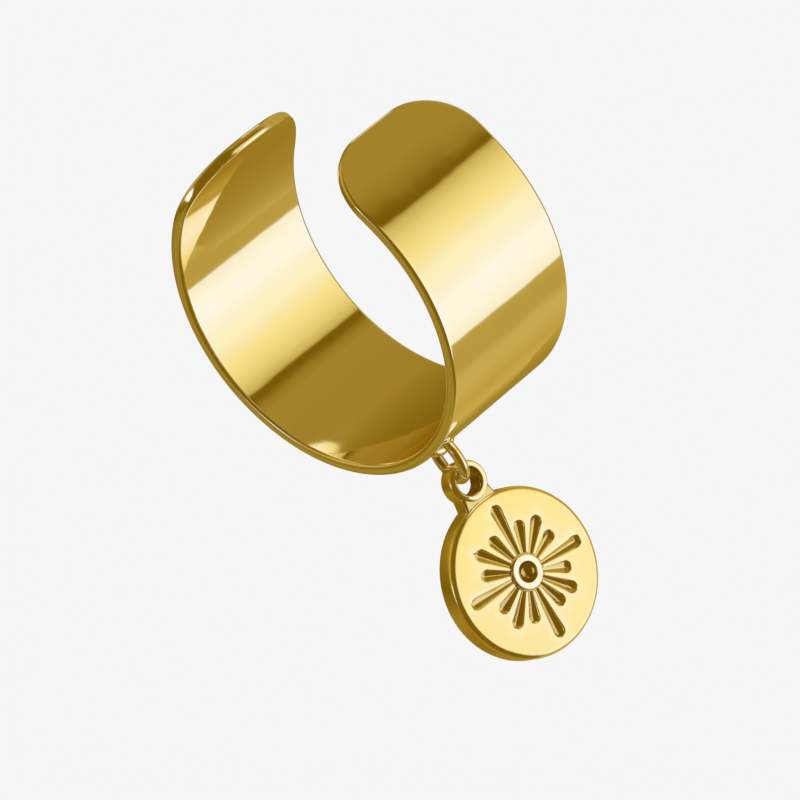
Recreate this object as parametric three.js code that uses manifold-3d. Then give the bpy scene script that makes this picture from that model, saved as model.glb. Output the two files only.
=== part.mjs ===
// An open, adjustable finger ring: a wide plain band with a round sunburst charm.
// Millimetres, +Z up. The finger runs along Y through the origin, the gap is on top
// and the charm hangs straight down from an eye under the band.
import * as THREE from "three";
import { mergeVertices } from "three/addons/utils/BufferGeometryUtils.js";
import Module from "manifold-3d";

const wasm = await Module();
wasm.setup();

const degrees = THREE.MathUtils.degToRad;

// Band: a strip of sheet rolled into an open ring, with round corners on both ends.
const BAND_MID_R = 9.0;
const BAND_THICK = 0.62;
const BAND_WIDTH = 9.65;
const STRIP_LENGTH = 48.4;
const STRIP_TURN = degrees(-15.1); // from the lowest point to the strip's middle, + towards +X
const BEND_START = 17.8; // from the strip's middle to where an end begins to open out
const BEND_EASE = 3.0;
const LEFT_END = { side: -1, bendR: 12.5, cornerR: 4.0 };
const RIGHT_END = { side: 1, bendR: 18.0, cornerR: 3.4 };
const MAIN_STATIONS = 32; // a side, between the strip's middle and its corners
const CORNER_STATIONS = 8;
const WALK_STEP = 0.1;

// Eye: a wire loop soldered under the band, its two feet side by side along Y.
const EYE_TURN = degrees(-13.2);
const EYE_WIRE = 0.56;
const EYE_HALF = 0.8; // from the eye's middle to a leg's centre line
const EYE_LOW_R = 10.495; // from the finger's axis to the wire's centre at the loop's end
const EYE_FOOT = 0.25; // how far a foot reaches into the band's wall
const EYE_STEPS = 24;

// Jump ring: a round wire ring that runs through the eye and the bail.
const JUMP_WIRE = 0.48;
const JUMP_INNER_R = 1.0;
const EYE_GAP = 0.06;
const BAIL_GAP = 0.18;

// Charm: a thick round disc cast in one piece with its bail.
const CHARM_YAW = degrees(8.2); // the face looks along +X, turned this far towards -Y
const CHARM_FORWARD = 0.0206; // brings the engraved disc's centre of mass under the eye
const CHARM_R = 4.6;
const CHARM_THICK = 1.5;
const CHARM_EDGE = 0.3;
const BAIL_UP = 5.74; // from the disc's centre to the bail's
const BAIL_R = 1.15;
const BAIL_HOLE_R = 0.7;
const BAIL_THICK = 1.16;
const BAIL_EDGE = 0.16;
const NECK_HALF = 1.15;
const NECK_INSET = 0.5; // how far the neck reaches into the disc

// Engraving: sixteen rays round a raised ring with a dimple.
const STAR_TURN = degrees(-2); // the rays stand this far round from the bail, as cast
const RAY_COUNT = 16;
const RAY_TIPS = [3.95, 2.85, 3.2, 2.85]; // long, short, middle, short, and so on round
const RAY_START = 0.98;
const RAY_START_HALF = 0.14;
const RAY_END_HALF = 0.27;
const RAY_DEPTH = 0.2;
const HUB_R = 0.93;
const HUB_GROOVE = 0.13;
const HUB_GROOVE_DEPTH = 0.14;
const DIMPLE_R = 0.54;
const DIMPLE_DEPTH = 0.3;
const CUT_OVER = 0.1; // how far a cutter stands out of the face that it cuts

// How finely the round shapes are cut into flats.
const WIRE_SIDES = 12;
const JUMP_STEPS = 36;
const DISC_SIDES = 80;
const EDGE_STEPS = 4;
const BAIL_STEPS = 14;
const BAIL_EDGE_STEPS = 3;
const RAY_STEPS = 6;
const HUB_SIDES = 40;
const DIMPLE_SIDES = 24;
const DIMPLE_RINGS = 16;

// A closed mesh as a solid that can be joined and cut, and back again.
function solid(geometry) {
  const bare = geometry.index ? geometry.toNonIndexed() : geometry.clone();
  bare.deleteAttribute("normal");
  bare.deleteAttribute("uv");
  const merged = mergeVertices(bare, 1e-4);
  return new wasm.Manifold(
    new wasm.Mesh({
      numProp: 3,
      vertProperties: merged.attributes.position.array,
      triVerts: new Uint32Array(merged.index.array),
    }),
  );
}

function geometryOf(made) {
  const mesh = made.getMesh();
  const geometry = new THREE.BufferGeometry();
  geometry.setAttribute("position", new THREE.BufferAttribute(mesh.vertProperties, 3));
  geometry.setIndex(new THREE.BufferAttribute(mesh.triVerts, 1));
  geometry.computeVertexNormals();
  return geometry;
}

// The strip's middle line walked from its middle towards one end: the place and the turn
// from the lowest point at each station.
function walkStrip({ side, bendR }, stations) {
  let turn = STRIP_TURN;
  let x = BAND_MID_R * Math.sin(turn);
  let z = -BAND_MID_R * Math.cos(turn);
  let gone = 0;
  return stations.map(({ distance, half }) => {
    const steps = Math.ceil((distance - gone) / WALK_STEP);
    const step = steps ? (distance - gone) / steps : 0;
    for (let i = 0; i < steps; i += 1) {
      const eased = THREE.MathUtils.smoothstep(gone + step / 2, BEND_START, BEND_START + BEND_EASE);
      const bend = THREE.MathUtils.lerp(1 / BAND_MID_R, 1 / bendR, eased);
      const halfway = turn + (side * bend * step) / 2;
      x += side * Math.cos(halfway) * step;
      z += side * Math.sin(halfway) * step;
      turn += side * bend * step;
      gone += step;
    }
    return { x, z, turn, half };
  });
}

// Distances from the strip's middle to each station of one side, with its half width there.
function stripStations({ cornerR }) {
  const straight = STRIP_LENGTH / 2 - cornerR;
  const main = Array.from({ length: MAIN_STATIONS }, (_, i) => ({
    distance: (straight * i) / MAIN_STATIONS,
    half: BAND_WIDTH / 2,
  }));
  const corner = Array.from({ length: CORNER_STATIONS + 1 }, (_, i) => {
    const angle = (i / CORNER_STATIONS) * (Math.PI / 2);
    return {
      distance: straight + cornerR * Math.sin(angle),
      half: BAND_WIDTH / 2 - cornerR + cornerR * Math.cos(angle),
    };
  });
  return [...main, ...corner];
}

// The band's wall: four corners at each station, joined along the strip and closed at its ends.
function bandGeometry() {
  const left = walkStrip(LEFT_END, stripStations(LEFT_END));
  const right = walkStrip(RIGHT_END, stripStations(RIGHT_END));
  const sections = [...left.slice(1).reverse(), ...right];
  const points = sections.flatMap(({ x, z, turn, half }) => {
    const outX = (Math.sin(turn) * BAND_THICK) / 2;
    const outZ = (-Math.cos(turn) * BAND_THICK) / 2;
    return [
      [x + outX, -half, z + outZ],
      [x + outX, half, z + outZ],
      [x - outX, half, z - outZ],
      [x - outX, -half, z - outZ],
    ].flat();
  });
  const faces = [0, 2, 1, 0, 3, 2];
  for (let i = 0; i < sections.length - 1; i += 1) {
    for (let corner = 0; corner < 4; corner += 1) {
      const here = 4 * i + corner;
      const beside = 4 * i + ((corner + 1) % 4);
      faces.push(here, beside, here + 4, beside, beside + 4, here + 4);
    }
  }
  const last = 4 * (sections.length - 1);
  faces.push(last, last + 1, last + 2, last, last + 2, last + 3);
  const geometry = new THREE.BufferGeometry();
  geometry.setAttribute("position", new THREE.Float32BufferAttribute(points, 3));
  geometry.setIndex(faces);
  return geometry;
}

// The eye's wire: up one leg, round the loop's end and back down the other leg.
// Its own X is the band's width, and its own Y points away from the finger.
class EyePath extends THREE.Curve {
  getPoint(t, target = new THREE.Vector3()) {
    const foot = BAND_MID_R + BAND_THICK / 2 - EYE_FOOT;
    const leg = EYE_LOW_R - EYE_HALF - foot;
    const bow = Math.PI * EYE_HALF;
    const along = t * (2 * leg + bow);
    if (along < leg) return target.set(-EYE_HALF, foot + along, 0);
    if (along > leg + bow) return target.set(EYE_HALF, foot + (2 * leg + bow - along), 0);
    const angle = (along - leg) / EYE_HALF;
    return target.set(-EYE_HALF * Math.cos(angle), foot + leg + EYE_HALF * Math.sin(angle), 0);
  }
}

function roundSection(radius, sides) {
  const corners = Array.from({ length: sides }, (_, i) => {
    const angle = (2 * Math.PI * (i + 0.5)) / sides;
    return new THREE.Vector2(radius * Math.cos(angle), radius * Math.sin(angle));
  });
  return new THREE.Shape(corners);
}

function eyeGeometry() {
  const wire = new THREE.ExtrudeGeometry(roundSection(EYE_WIRE / 2, WIRE_SIDES), {
    extrudePath: new EyePath(),
    steps: EYE_STEPS,
  });
  const acrossBand = new THREE.Vector3(0, 1, 0);
  const outwards = new THREE.Vector3(Math.sin(EYE_TURN), 0, -Math.cos(EYE_TURN));
  const along = new THREE.Vector3().crossVectors(acrossBand, outwards);
  return wire.applyMatrix4(new THREE.Matrix4().makeBasis(acrossBand, outwards, along));
}

// The disc lies in its own XY plane with its face towards +Z, and its bail is up +Y.
function discGeometry() {
  const profile = new THREE.Path();
  profile.moveTo(0, -CHARM_THICK / 2);
  profile.lineTo(CHARM_R - CHARM_EDGE, -CHARM_THICK / 2);
  profile.absarc(CHARM_R - CHARM_EDGE, CHARM_EDGE - CHARM_THICK / 2, CHARM_EDGE, -Math.PI / 2, 0);
  profile.absarc(CHARM_R - CHARM_EDGE, CHARM_THICK / 2 - CHARM_EDGE, CHARM_EDGE, 0, Math.PI / 2);
  profile.lineTo(0, CHARM_THICK / 2);
  return new THREE.LatheGeometry(profile.getPoints(EDGE_STEPS), DISC_SIDES).rotateX(Math.PI / 2);
}

function bailGeometry() {
  const outline = new THREE.Shape();
  outline.moveTo(-NECK_HALF, CHARM_R - NECK_INSET);
  outline.lineTo(NECK_HALF, CHARM_R - NECK_INSET);
  outline.absarc(0, BAIL_UP, BAIL_R, 0, Math.PI);
  outline.closePath();
  const hole = new THREE.Path();
  hole.absarc(0, BAIL_UP, BAIL_HOLE_R, 0, 2 * Math.PI, true);
  outline.holes.push(hole);
  return new THREE.ExtrudeGeometry(outline, {
    depth: BAIL_THICK - 2 * BAIL_EDGE,
    bevelEnabled: true,
    bevelThickness: BAIL_EDGE,
    bevelSize: BAIL_EDGE,
    bevelOffset: -BAIL_EDGE,
    bevelSegments: BAIL_EDGE_STEPS,
    curveSegments: BAIL_STEPS,
  }).translate(0, 0, BAIL_EDGE - BAIL_THICK / 2);
}

// A ray's cutter: a groove that widens outwards from the hub and ends in a half circle.
function rayGeometry(tip, angle) {
  const end = tip - RAY_END_HALF;
  const outline = new THREE.Shape();
  outline.moveTo(RAY_START, -RAY_START_HALF);
  outline.lineTo(end, -RAY_END_HALF);
  outline.absarc(end, 0, RAY_END_HALF, -Math.PI / 2, Math.PI / 2);
  outline.lineTo(RAY_START, RAY_START_HALF);
  outline.closePath();
  return new THREE.ExtrudeGeometry(outline, {
    depth: RAY_DEPTH + CUT_OVER,
    bevelEnabled: false,
    curveSegments: RAY_STEPS,
  })
    .translate(0, 0, CHARM_THICK / 2 - RAY_DEPTH)
    .rotateZ(angle);
}

function hubGrooveGeometry() {
  const low = CHARM_THICK / 2 - HUB_GROOVE_DEPTH;
  const high = CHARM_THICK / 2 + CUT_OVER;
  const corners = [
    new THREE.Vector2(HUB_R, low),
    new THREE.Vector2(HUB_R + HUB_GROOVE, low),
    new THREE.Vector2(HUB_R + HUB_GROOVE, high),
    new THREE.Vector2(HUB_R, high),
    new THREE.Vector2(HUB_R, low),
  ];
  return new THREE.LatheGeometry(corners, HUB_SIDES).rotateX(Math.PI / 2);
}

function dimpleGeometry() {
  const radius = (DIMPLE_R * DIMPLE_R + DIMPLE_DEPTH * DIMPLE_DEPTH) / (2 * DIMPLE_DEPTH);
  const centre = CHARM_THICK / 2 - DIMPLE_DEPTH + radius;
  return new THREE.SphereGeometry(radius, DIMPLE_SIDES, DIMPLE_RINGS)
    .rotateX(Math.PI / 2)
    .translate(0, 0, centre);
}

function charmGeometry() {
  let charm = solid(discGeometry()).add(solid(bailGeometry()));
  for (let i = 0; i < RAY_COUNT; i += 1) {
    const angle = Math.PI / 2 + STAR_TURN + (i * 2 * Math.PI) / RAY_COUNT;
    charm = charm.subtract(solid(rayGeometry(RAY_TIPS[i % RAY_TIPS.length], angle)));
  }
  return geometryOf(charm.subtract(solid(hubGrooveGeometry())).subtract(solid(dimpleGeometry())));
}

function goldMesh(name, geometry, colour, roughness) {
  const material = new THREE.MeshStandardMaterial({ color: colour, roughness, metalness: 1 });
  const mesh = new THREE.Mesh(geometry, material);
  mesh.name = name;
  return mesh;
}

// Heights down the chain, each from the piece above it.
const eyeX = EYE_LOW_R * Math.sin(EYE_TURN);
const eyeZ = -EYE_LOW_R * Math.cos(EYE_TURN);
const jumpZ = eyeZ + EYE_WIRE / 2 + EYE_GAP - JUMP_INNER_R;
const bailZ = jumpZ - JUMP_INNER_R + BAIL_GAP - BAIL_HOLE_R;
const charmZ = bailZ - BAIL_UP;

const band = goldMesh(
  "band",
  geometryOf(solid(bandGeometry()).add(solid(eyeGeometry()))),
  "#cfa534",
  0.12,
);

const jumpGeometry = new THREE.TorusGeometry(
  JUMP_INNER_R + JUMP_WIRE / 2,
  JUMP_WIRE / 2,
  WIRE_SIDES,
  JUMP_STEPS,
).rotateY(Math.PI / 2);
const jumpRing = goldMesh("jump_ring", jumpGeometry, "#d8b044", 0.16);
jumpRing.position.z = jumpZ;

const charm = goldMesh("charm", charmGeometry(), "#e6c25c", 0.22);
charm.rotation.x = Math.PI / 2;
charm.position.set(0, -CHARM_FORWARD, charmZ);

// What hangs turns a little about the vertical, so that the face looks past the band.
const hanging = new THREE.Group();
hanging.position.x = eyeX;
hanging.rotation.z = Math.PI / 2 - CHARM_YAW;
hanging.add(jumpRing, charm);

const ring = new THREE.Group();
ring.add(band, hanging);

export default ring;
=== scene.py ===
import math

import bpy
import numpy as np
from mathutils import Matrix


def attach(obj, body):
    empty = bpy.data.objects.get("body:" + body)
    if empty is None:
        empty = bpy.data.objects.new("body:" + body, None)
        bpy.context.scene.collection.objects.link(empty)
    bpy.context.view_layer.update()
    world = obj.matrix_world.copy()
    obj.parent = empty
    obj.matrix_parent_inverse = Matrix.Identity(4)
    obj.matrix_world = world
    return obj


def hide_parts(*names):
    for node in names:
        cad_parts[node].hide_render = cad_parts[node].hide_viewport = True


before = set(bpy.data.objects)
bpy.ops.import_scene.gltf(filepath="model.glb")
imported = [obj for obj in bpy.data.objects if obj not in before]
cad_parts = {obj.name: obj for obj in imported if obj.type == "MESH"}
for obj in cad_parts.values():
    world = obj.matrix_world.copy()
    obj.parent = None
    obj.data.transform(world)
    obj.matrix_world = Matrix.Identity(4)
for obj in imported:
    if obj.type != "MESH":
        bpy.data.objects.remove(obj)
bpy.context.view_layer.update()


# ---- Band -----------------------------------------------------------------------------------
# A strip of gold-plated sheet, rolled into an open ring that springs to the finger. Its two
# ends are cut to round corners, and its edges are tumbled round before the last polish.

MM = 0.001

BAND_MID_R = 9.0
BAND_THICK = 0.62
BAND_WIDTH = 9.65
STRIP_HALF = 24.2
STRIP_TURN = math.radians(-15.1)  # from the lowest point to the strip's middle, + towards +X
BEND_START = 17.8  # from the strip's middle to where an end begins to open out
BEND_EASE = 3.0
LEFT_BEND_R = 12.5
RIGHT_BEND_R = 18.0
LEFT_CORNER_R = (4.0, 4.6)  # the corner towards the wearer's hand, and the one away from it
RIGHT_CORNER_R = (3.4, 3.4)
BAND_EDGE_R = 0.2
LINE_POINTS = 2421
EDGE_STEPS = 6
ROW_STEP = 0.12
CORNER_ROWS = 36
COLUMNS = 41
EDGE_COLUMN = 0.994  # one more column this close to each edge, so that the round starts clean
RUBBED_FROM = 0.985  # of the half width, outwards from where the faces are rubbed
WAVE_HEIGHT = 0.0035  # hammering and rolling leave the sheet very slightly uneven
WAVES = ((0.83, 0.35, 0.0, 1.0), (-0.61, 0.47, 1.0, 0.7))  # along, over, start and share of each

GOLD = (0.96, 0.79, 0.40)
GOLD_DEEP = (0.90, 0.70, 0.30)
GOLD_IN_GOLD = (0.97, 0.91, 0.76)  # where the gold mirrors itself, paler than its tone squared
GRAZING_GOLD = (1.0, 0.92, 0.66)  # seen almost along the surface, where plain metal goes white


def mesh_piece(name, material, points, faces, edge_wear, painted_shade=None):
    """An object with its place in its mesh. Points are in millimetres, faces are rows of four
    corners, edge_wear is 0 on open surface and 1 on a rubbed edge, and the last mask is
    painted shade, 1 where the gold is darkened most in its hollows."""
    mesh = bpy.data.meshes.new(name)
    mesh.vertices.add(len(points))
    mesh.vertices.foreach_set("co", (np.asarray(points) * MM).astype(np.float32).ravel())
    mesh.loops.add(faces.size)
    mesh.loops.foreach_set("vertex_index", faces.astype(np.int32).ravel())
    mesh.polygons.add(len(faces))
    mesh.polygons.foreach_set("loop_start", np.arange(0, faces.size, 4, dtype=np.int32))
    mesh.polygons.foreach_set("use_smooth", np.ones(len(faces), bool))
    for label, values in (("edge_wear", edge_wear), ("painted_shade", painted_shade)):
        if values is not None:
            layer = mesh.attributes.new(label, "FLOAT", "POINT")
            layer.data.foreach_set("value", np.asarray(values, np.float32).ravel())
    mesh.update(calc_edges=True)
    mesh.validate()
    piece = bpy.data.objects.new(name, mesh)
    bpy.context.scene.collection.objects.link(piece)
    mesh.materials.append(material)
    return piece


def grid_faces(index):
    """The faces between neighbouring rows and columns of a table of point numbers."""
    corners = [index[:-1, :-1], index[1:, :-1], index[1:, 1:], index[:-1, 1:]]
    return np.stack(corners, axis=-1).reshape(-1, 4)


def closed_round(index):
    """The table with its first column again after its last, so that its faces close."""
    return np.concatenate([index, index[:, :1]], axis=1)


def strip_half(side, bend_r):
    """Half of the strip's middle line. The turn is the running sum of the curvature, which
    eases from the round band's to the end's, and the place is the running sum of its
    direction. Returns distance, x, z and turn."""
    distance = np.linspace(0, STRIP_HALF, LINE_POINTS)
    step = distance[1]
    ease = np.clip(((distance[1:] - step / 2) - BEND_START) / BEND_EASE, 0, 1)
    ease = ease * ease * (3 - 2 * ease)
    curvature = (1 - ease) / BAND_MID_R + ease / bend_r
    turn = STRIP_TURN + side * step * np.concatenate([[0], np.cumsum(curvature)])
    halfway = (turn[1:] + turn[:-1]) / 2
    x = np.concatenate([[0], np.cumsum(np.cos(halfway))]) * side * step
    z = np.concatenate([[0], np.cumsum(np.sin(halfway))]) * side * step
    x += BAND_MID_R * math.sin(STRIP_TURN)
    z -= BAND_MID_R * math.cos(STRIP_TURN)
    return side * distance, x, z, turn


left_line = strip_half(-1, LEFT_BEND_R)
right_line = strip_half(1, RIGHT_BEND_R)
line_s, line_x, line_z, line_turn = (
    np.concatenate([left[:0:-1], right]) for left, right in zip(left_line, right_line)
)


def on_strip(s, y, height):
    """Flat strip to rolled ring: the place on the middle line at distance s, moved out along
    its normal by the height and along the finger by y."""
    wave = sum(share * np.sin(along * s + over * y + start) for along, over, start, share in WAVES)
    out = height + WAVE_HEIGHT * wave
    turn = np.interp(s, line_s, line_turn)
    x = np.interp(s, line_s, line_x) + out * np.sin(turn)
    z = np.interp(s, line_s, line_z) - out * np.cos(turn)
    return np.stack([x, y + 0 * x, z], axis=-1)


def half_width(s, corner_r, inset):
    """From the strip's middle to its edge at distance s. The edge is straight, then a quarter
    circle: the square root of what its radius leaves. All of it is moved in by the inset."""
    left, right = corner_r
    radius = np.where(s < 0, left, right)
    past = np.maximum(np.abs(s) - (STRIP_HALF - radius), 0)
    return BAND_WIDTH / 2 - radius + np.sqrt(np.maximum((radius - inset) ** 2 - past**2, 0))


def strip_rows(inset):
    """Where the rows across the strip lie and how far each reaches to its two sides. The rows
    crowd towards the ends as the larger corner's own steps do."""
    corner = np.linspace(0, math.pi / 2, CORNER_ROWS + 1)
    left_r, right_r = max(LEFT_CORNER_R), max(RIGHT_CORNER_R)
    left_start, right_start = STRIP_HALF - left_r, STRIP_HALF - right_r
    rows = int((left_start + right_start) / ROW_STEP)
    middle = np.linspace(-left_start, right_start, rows)[1:-1]
    left_s = -left_start - (left_r - inset) * np.sin(corner[::-1])
    right_s = right_start + (right_r - inset) * np.sin(corner)
    s = np.concatenate([left_s, middle, right_s])
    near, far = (half_width(s, pair, inset) for pair in zip(LEFT_CORNER_R, RIGHT_CORNER_R))
    return s, near, far


# Where the columns across the strip stand, from its near edge (-1) to its far one (1).
even_columns = np.linspace(-1, 1, COLUMNS)[1:-1]
across = np.concatenate([[-1, -EDGE_COLUMN], even_columns, [EDGE_COLUMN, 1]])


def rim_loop(inset):
    """The outline once round at this inset, in the flat: near edge, right end, far edge and
    left end, with the grid's own points on the two ends."""
    s, near, far = strip_rows(inset)
    part = (across[1:-1] + 1) / 2
    flat_s = np.concatenate([s, s[-1] + 0 * part, s[::-1], s[0] + 0 * part])
    right_end = part * far[-1] - (1 - part) * near[-1]
    left_end = part * far[0] - (1 - part) * near[0]
    return flat_s, np.concatenate([-near, right_end, far[::-1], left_end[::-1]])


def band_surface():
    """Outer face, rounded edge and inner face as one closed skin. The edge is a profile of two
    quarter circles and a flat, carried along the outline: its inset and height follow the
    profile while the outline shrinks and grows with the inset."""
    s, near, far = strip_rows(BAND_EDGE_R)
    rows, columns = len(s), len(across)
    grid_s = np.repeat(s[:, None], columns, 1)
    part = (across + 1) / 2
    grid_y = far[:, None] * part - near[:, None] * (1 - part)
    outer = on_strip(grid_s, grid_y, BAND_THICK / 2).reshape(-1, 3)
    inner = on_strip(grid_s, grid_y, -BAND_THICK / 2).reshape(-1, 3)
    index = np.arange(rows * columns).reshape(rows, columns)
    loop = np.concatenate([index[:, 0], index[-1, 1:-1], index[::-1, -1], index[0, -2:0:-1]])

    arc = np.linspace(0, math.pi / 2, EDGE_STEPS + 1)[1:]
    upper, lower = BAND_EDGE_R * (1 - np.sin(arc)), BAND_EDGE_R * (1 - np.cos(arc[:-1]))
    insets = np.concatenate([upper, [0.0], lower])
    flat = BAND_THICK / 2 - BAND_EDGE_R
    upper, lower = flat + BAND_EDGE_R * np.cos(arc), -flat - BAND_EDGE_R * np.sin(arc[:-1])
    heights = np.concatenate([upper, [-flat], lower])
    edge = [on_strip(*rim_loop(inset), height) for inset, height in zip(insets, heights)]

    count = rows * columns
    start = 2 * count
    ring = np.arange(len(loop))
    loops = [loop] + [start + k * len(loop) + ring for k in range(len(edge))] + [count + loop]
    edge_faces = grid_faces(closed_round(np.stack(loops)))
    faces = [grid_faces(index)[:, ::-1], count + grid_faces(index), edge_faces[:, ::-1]]
    points = np.concatenate([outer, inner, *edge])

    near_edge = np.clip((np.abs(across) - RUBBED_FROM) / (1 - RUBBED_FROM), 0, 1)
    near_edge = np.tile(near_edge, rows)
    wear = np.concatenate([near_edge, near_edge, np.ones(len(edge) * len(loop))])
    return points, np.concatenate(faces), wear


def group_of(name, inputs, outputs):
    """An empty shader node group with these named inputs (name, socket type, value) and
    outputs (name, socket type)."""
    group = bpy.data.node_groups.new(name, "ShaderNodeTree")
    for label, kind, value in inputs:
        group.interface.new_socket(label, in_out="INPUT", socket_type=kind).default_value = value
    for label, kind in outputs:
        group.interface.new_socket(label, in_out="OUTPUT", socket_type=kind)
    return group, group.nodes.new("NodeGroupInput"), group.nodes.new("NodeGroupOutput")


def noise(tree, vector, scale, detail=2.0, roughness=0.5):
    """Soft noise from 0 to 1, of this many patches to each unit of the vector."""
    node = tree.nodes.new("ShaderNodeTexNoise")
    node.inputs["Scale"].default_value = scale
    node.inputs["Detail"].default_value = detail
    node.inputs["Roughness"].default_value = roughness
    tree.links.new(vector, node.inputs["Vector"])
    return node.outputs["Fac"]


def math_node(tree, operation, first, second, clamp=False):
    """One step of arithmetic on two values, each a number or another node's output."""
    node = tree.nodes.new("ShaderNodeMath")
    node.operation = operation
    node.use_clamp = clamp
    for socket, value in zip(node.inputs, (first, second)):
        if isinstance(value, (int, float)):
            socket.default_value = value
        else:
            tree.links.new(value, socket)
    return node.outputs[0]


def mix_colours(tree, factor, first, second):
    """The first colour at factor 0 and the second at 1, each a tuple or another node's output."""
    node = tree.nodes.new("ShaderNodeMix")
    node.data_type = "RGBA"
    tree.links.new(factor, node.inputs["Factor"])
    # The node's colours are its inputs 6 and 7, and their mix is its output 2.
    for socket, value in ((node.inputs[6], first), (node.inputs[7], second)):
        if isinstance(value, tuple):
            socket.default_value = (*value, 1.0)
        else:
            tree.links.new(value, socket)
    return node.outputs[2]


# Polish: a mirror finish still has a soft unevenness, faint hairlines and a little haze. The
# patches are counted a metre.
RIPPLE_PATCHES = 260.0
HAZE_PATCHES = 700.0
HAIRLINE_PATCHES = 9000.0
HAIRLINE_SQUEEZE = (1.0, 0.04, 1.0)
HAIRLINE_TURN = (0.2, 0.0, 0.5)

polish, polish_in, polish_out = group_of(
    "polish",
    [
        ("Vector", "NodeSocketVector", (0, 0, 0)),
        ("Roughness", "NodeSocketFloat", 0.05),
        ("Haze", "NodeSocketFloat", 0.03),
        ("Ripple", "NodeSocketFloat", 1.0),
        ("Hairlines", "NodeSocketFloat", 1.0),
    ],
    [("Roughness", "NodeSocketFloat"), ("Height", "NodeSocketFloat")],
)
ripples = noise(polish, polish_in.outputs["Vector"], RIPPLE_PATCHES)
hazy = noise(polish, polish_in.outputs["Vector"], HAZE_PATCHES)
stretch = polish.nodes.new("ShaderNodeMapping")
stretch.inputs["Scale"].default_value = HAIRLINE_SQUEEZE
stretch.inputs["Rotation"].default_value = HAIRLINE_TURN
polish.links.new(polish_in.outputs["Vector"], stretch.inputs["Vector"])
lines = noise(polish, stretch.outputs["Vector"], HAIRLINE_PATCHES, detail=3.0, roughness=0.6)
haze = math_node(polish, "MULTIPLY", hazy, polish_in.outputs["Haze"])
roughness = math_node(polish, "ADD", polish_in.outputs["Roughness"], haze)
polish.links.new(roughness, polish_out.inputs["Roughness"])
rippled = math_node(polish, "MULTIPLY", ripples, polish_in.outputs["Ripple"])
scratched = math_node(polish, "MULTIPLY", lines, polish_in.outputs["Hairlines"])
polish.links.new(math_node(polish, "ADD", rippled, scratched), polish_out.inputs["Height"])

# Plating tone: the plating is a shade deeper in some patches and rubbed paler on its edges,
# and a painted shade darkens it towards brown in its hollows, its hole and inside its loops.
PAINTED_SHADE_BROWN = (0.42, 0.27, 0.06)
TONE_PATCHES = 420.0
DEEPEST = 0.35  # how far the deepest patch goes from one gold to the other
RUBBED_SPECKS = 2600.0

plating, plating_in, plating_out = group_of(
    "plating_tone_and_painted_shade",
    [
        ("Vector", "NodeSocketVector", (0, 0, 0)),
        ("Gold", "NodeSocketColor", (*GOLD, 1.0)),
        ("Deep gold", "NodeSocketColor", (*GOLD_DEEP, 1.0)),
        ("Rubbed gold", "NodeSocketColor", (*GOLD, 1.0)),
        ("Wear", "NodeSocketFloat", 0.0),
        ("Painted shade", "NodeSocketFloat", 0.0),
    ],
    [("Color", "NodeSocketColor")],
)
patches = noise(plating, plating_in.outputs["Vector"], TONE_PATCHES, detail=3.0)
patches = math_node(plating, "MULTIPLY", patches, DEEPEST)
toned = mix_colours(plating, patches, plating_in.outputs["Gold"], plating_in.outputs["Deep gold"])
specks = noise(plating, plating_in.outputs["Vector"], RUBBED_SPECKS, detail=4.0)
rubbed = math_node(plating, "MULTIPLY", specks, plating_in.outputs["Wear"], clamp=True)
worn = mix_colours(plating, rubbed, toned, plating_in.outputs["Rubbed gold"])
# Painted shade: the gold darkened towards brown by the painted shade mask.
painted_shade_gold = mix_colours(plating, plating_in.outputs["Painted shade"], worn, PAINTED_SHADE_BROWN)
plating.links.new(painted_shade_gold, plating_out.inputs["Color"])


def gold_material(name, gold, deep, rubbed_gold, roughness, haze, ripple, hairlines, relief):
    """Polished gold plating: a metal whose tone, haze and height come from the two groups, and
    which is paler where gold mirrors it. Relief is the height of the unevenness in metres."""
    material = bpy.data.materials.new(name)
    material.use_nodes = True
    tree = material.node_tree
    shader = tree.nodes["Principled BSDF"]
    shader.inputs["Metallic"].default_value = 1.0
    shader.inputs["Specular Tint"].default_value = (*GRAZING_GOLD, 1.0)
    where = tree.nodes.new("ShaderNodeTexCoord").outputs["Object"]
    tone = tree.nodes.new("ShaderNodeGroup")
    tone.node_tree = plating
    tone.inputs["Gold"].default_value = (*gold, 1.0)
    tone.inputs["Deep gold"].default_value = (*deep, 1.0)
    tone.inputs["Rubbed gold"].default_value = (*rubbed_gold, 1.0)
    tree.links.new(where, tone.inputs["Vector"])
    # The mesh gives the edge wear, and the painted shade mask that darkens the hollows.
    for attribute, socket in (("edge_wear", "Wear"), ("painted_shade", "Painted shade")):
        painted = tree.nodes.new("ShaderNodeAttribute")
        painted.attribute_name = attribute
        tree.links.new(painted.outputs["Fac"], tone.inputs[socket])
    mirrored = tree.nodes.new("ShaderNodeLightPath").outputs["Is Glossy Ray"]
    colour = mix_colours(tree, mirrored, tone.outputs["Color"], GOLD_IN_GOLD)
    tree.links.new(colour, shader.inputs["Base Color"])
    finish = tree.nodes.new("ShaderNodeGroup")
    finish.node_tree = polish
    finish.inputs["Roughness"].default_value = roughness
    finish.inputs["Haze"].default_value = haze
    finish.inputs["Ripple"].default_value = ripple
    finish.inputs["Hairlines"].default_value = hairlines
    tree.links.new(where, finish.inputs["Vector"])
    tree.links.new(finish.outputs["Roughness"], shader.inputs["Roughness"])
    bump = tree.nodes.new("ShaderNodeBump")
    bump.inputs["Distance"].default_value = relief
    tree.links.new(finish.outputs["Height"], bump.inputs["Height"])
    tree.links.new(bump.outputs["Normal"], shader.inputs["Normal"])
    return material


band_gold = gold_material(
    "band_gold",
    gold=GOLD,
    deep=GOLD_DEEP,
    rubbed_gold=(0.98, 0.84, 0.52),
    roughness=0.035,
    haze=0.03,
    ripple=1.0,
    hairlines=0.012,
    relief=0.00002,
)

band_strip = mesh_piece("band_strip", band_gold, *band_surface())
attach(band_strip, "band")
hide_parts("band")


# ---- Eye ------------------------------------------------------------------------------------
# A loop of round wire whose two feet are soldered to the band's underside, side by side along
# the finger. The solder runs up each foot in a small fillet.

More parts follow.
